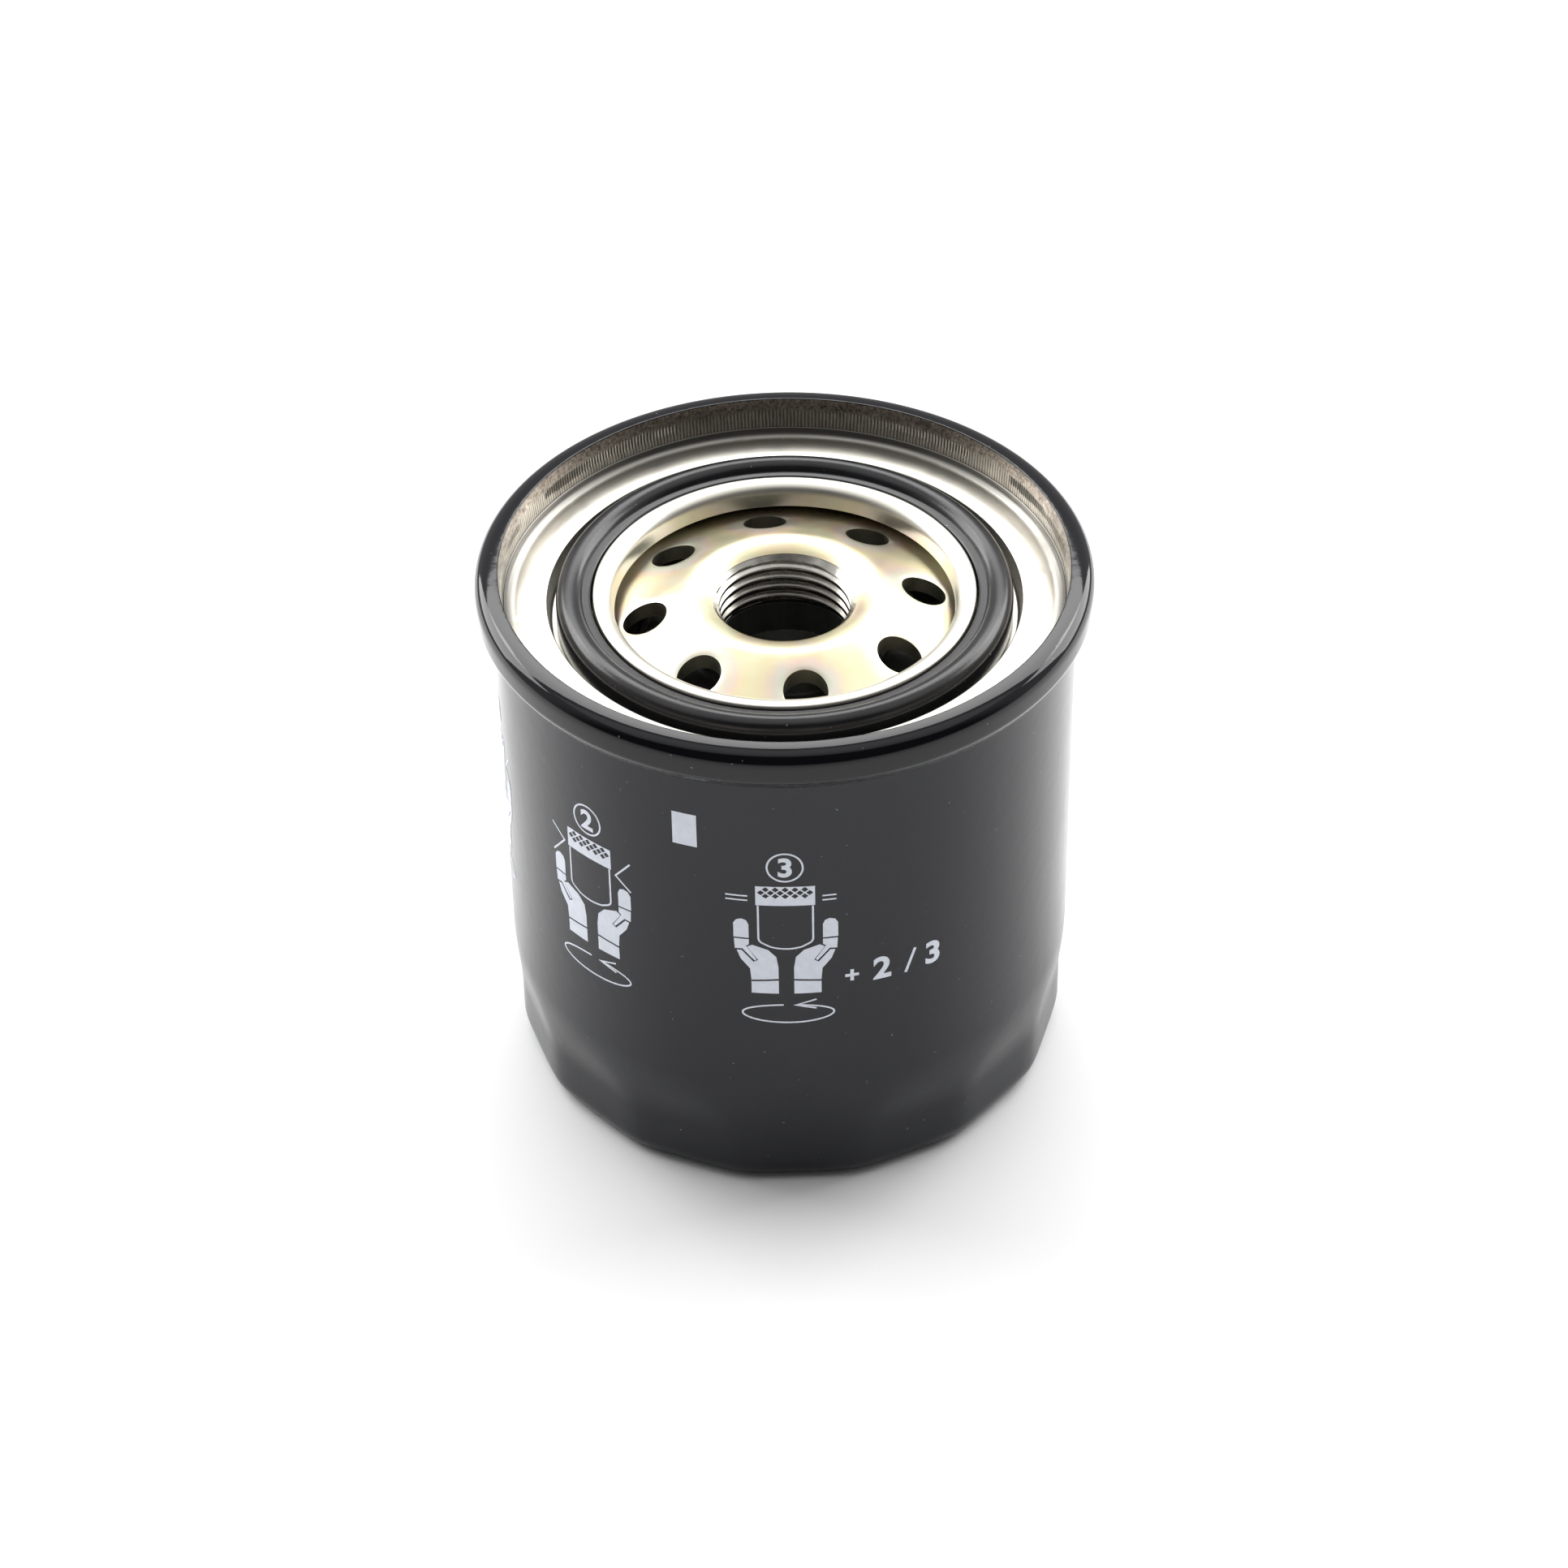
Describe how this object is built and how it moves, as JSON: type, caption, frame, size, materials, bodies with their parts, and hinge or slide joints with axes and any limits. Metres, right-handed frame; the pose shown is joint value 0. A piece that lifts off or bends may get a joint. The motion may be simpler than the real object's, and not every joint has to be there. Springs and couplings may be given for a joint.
{
  "type": "spin-on oil filter",
  "caption": "Short spin-on oil filter with a fluted closed end, rolled seam, rubber gasket and domed threaded plate with inlet holes.",
  "frame": {"origin": "on the axis, at the plane of the closed end's resting ring", "axes": "+Z along the axis, from the closed end to the threaded end"},
  "size_m": [0.084, 0.084, 0.0793],
  "materials": {
    "black_paint": "smooth satin black enamel",
    "bare_steel": "pale plated steel, knurled wall",
    "yellow_zinc": "iridescent yellow zinc plating",
    "tin_plate": "tin plated sheet",
    "plain_steel": "oiled pressed steel",
    "spring_steel": "drawn spring wire",
    "gasket_rubber": "moulded, semi-matt",
    "valve_rubber": "moulded, semi-matt",
    "filter_paper": "resin treated pleated paper",
    "potting": "cured potting compound",
    "seam_latex": "dried seaming compound"
  },
  "bodies": {
    "housing": {"can": "black_paint", "seam_lid": "bare_steel", "seam_compound": "seam_latex", "thread_plate": "yellow_zinc", "gasket": "gasket_rubber", "element_spring": "spring_steel"},
    "anti_drain": {"anti_drain_valve": "valve_rubber"},
    "element": {"element_seal": "valve_rubber", "upper_end_cap": "tin_plate", "lower_end_cap": "tin_plate", "upper_adhesive": "potting", "lower_adhesive": "potting", "pleated_media": "filter_paper", "media_clip": "tin_plate", "centre_tube": "tin_plate", "bypass_seat": "plain_steel", "bypass_cage": "plain_steel", "bypass_spring": "spring_steel", "spring_seat": "plain_steel"},
    "poppet": {"bypass_poppet": "plain_steel", "poppet_seal": "valve_rubber", "poppet_stem": "plain_steel"}
  },
  "joints": [
    {"name": "anti_drain_open", "type": "slide", "parent": "housing", "child": "anti_drain", "axis": [0, 0, -1], "range_m": [0, 0.0015], "stiffness_N_per_m": 1500, "springref_m": -0.0005},
    {"name": "element_float", "type": "slide", "parent": "housing", "child": "element", "axis": [0, 0, -1], "range_m": [0, 0.002], "stiffness_N_per_m": 8000, "springref_m": -0.004, "deforming": ["element_spring"]},
    {"name": "bypass_lift", "type": "slide", "parent": "element", "child": "poppet", "axis": [0, 0, 1], "range_m": [0, 0.003], "stiffness_N_per_m": 2000, "springref_m": -0.0065, "deforming": ["bypass_spring"]}
  ]
}
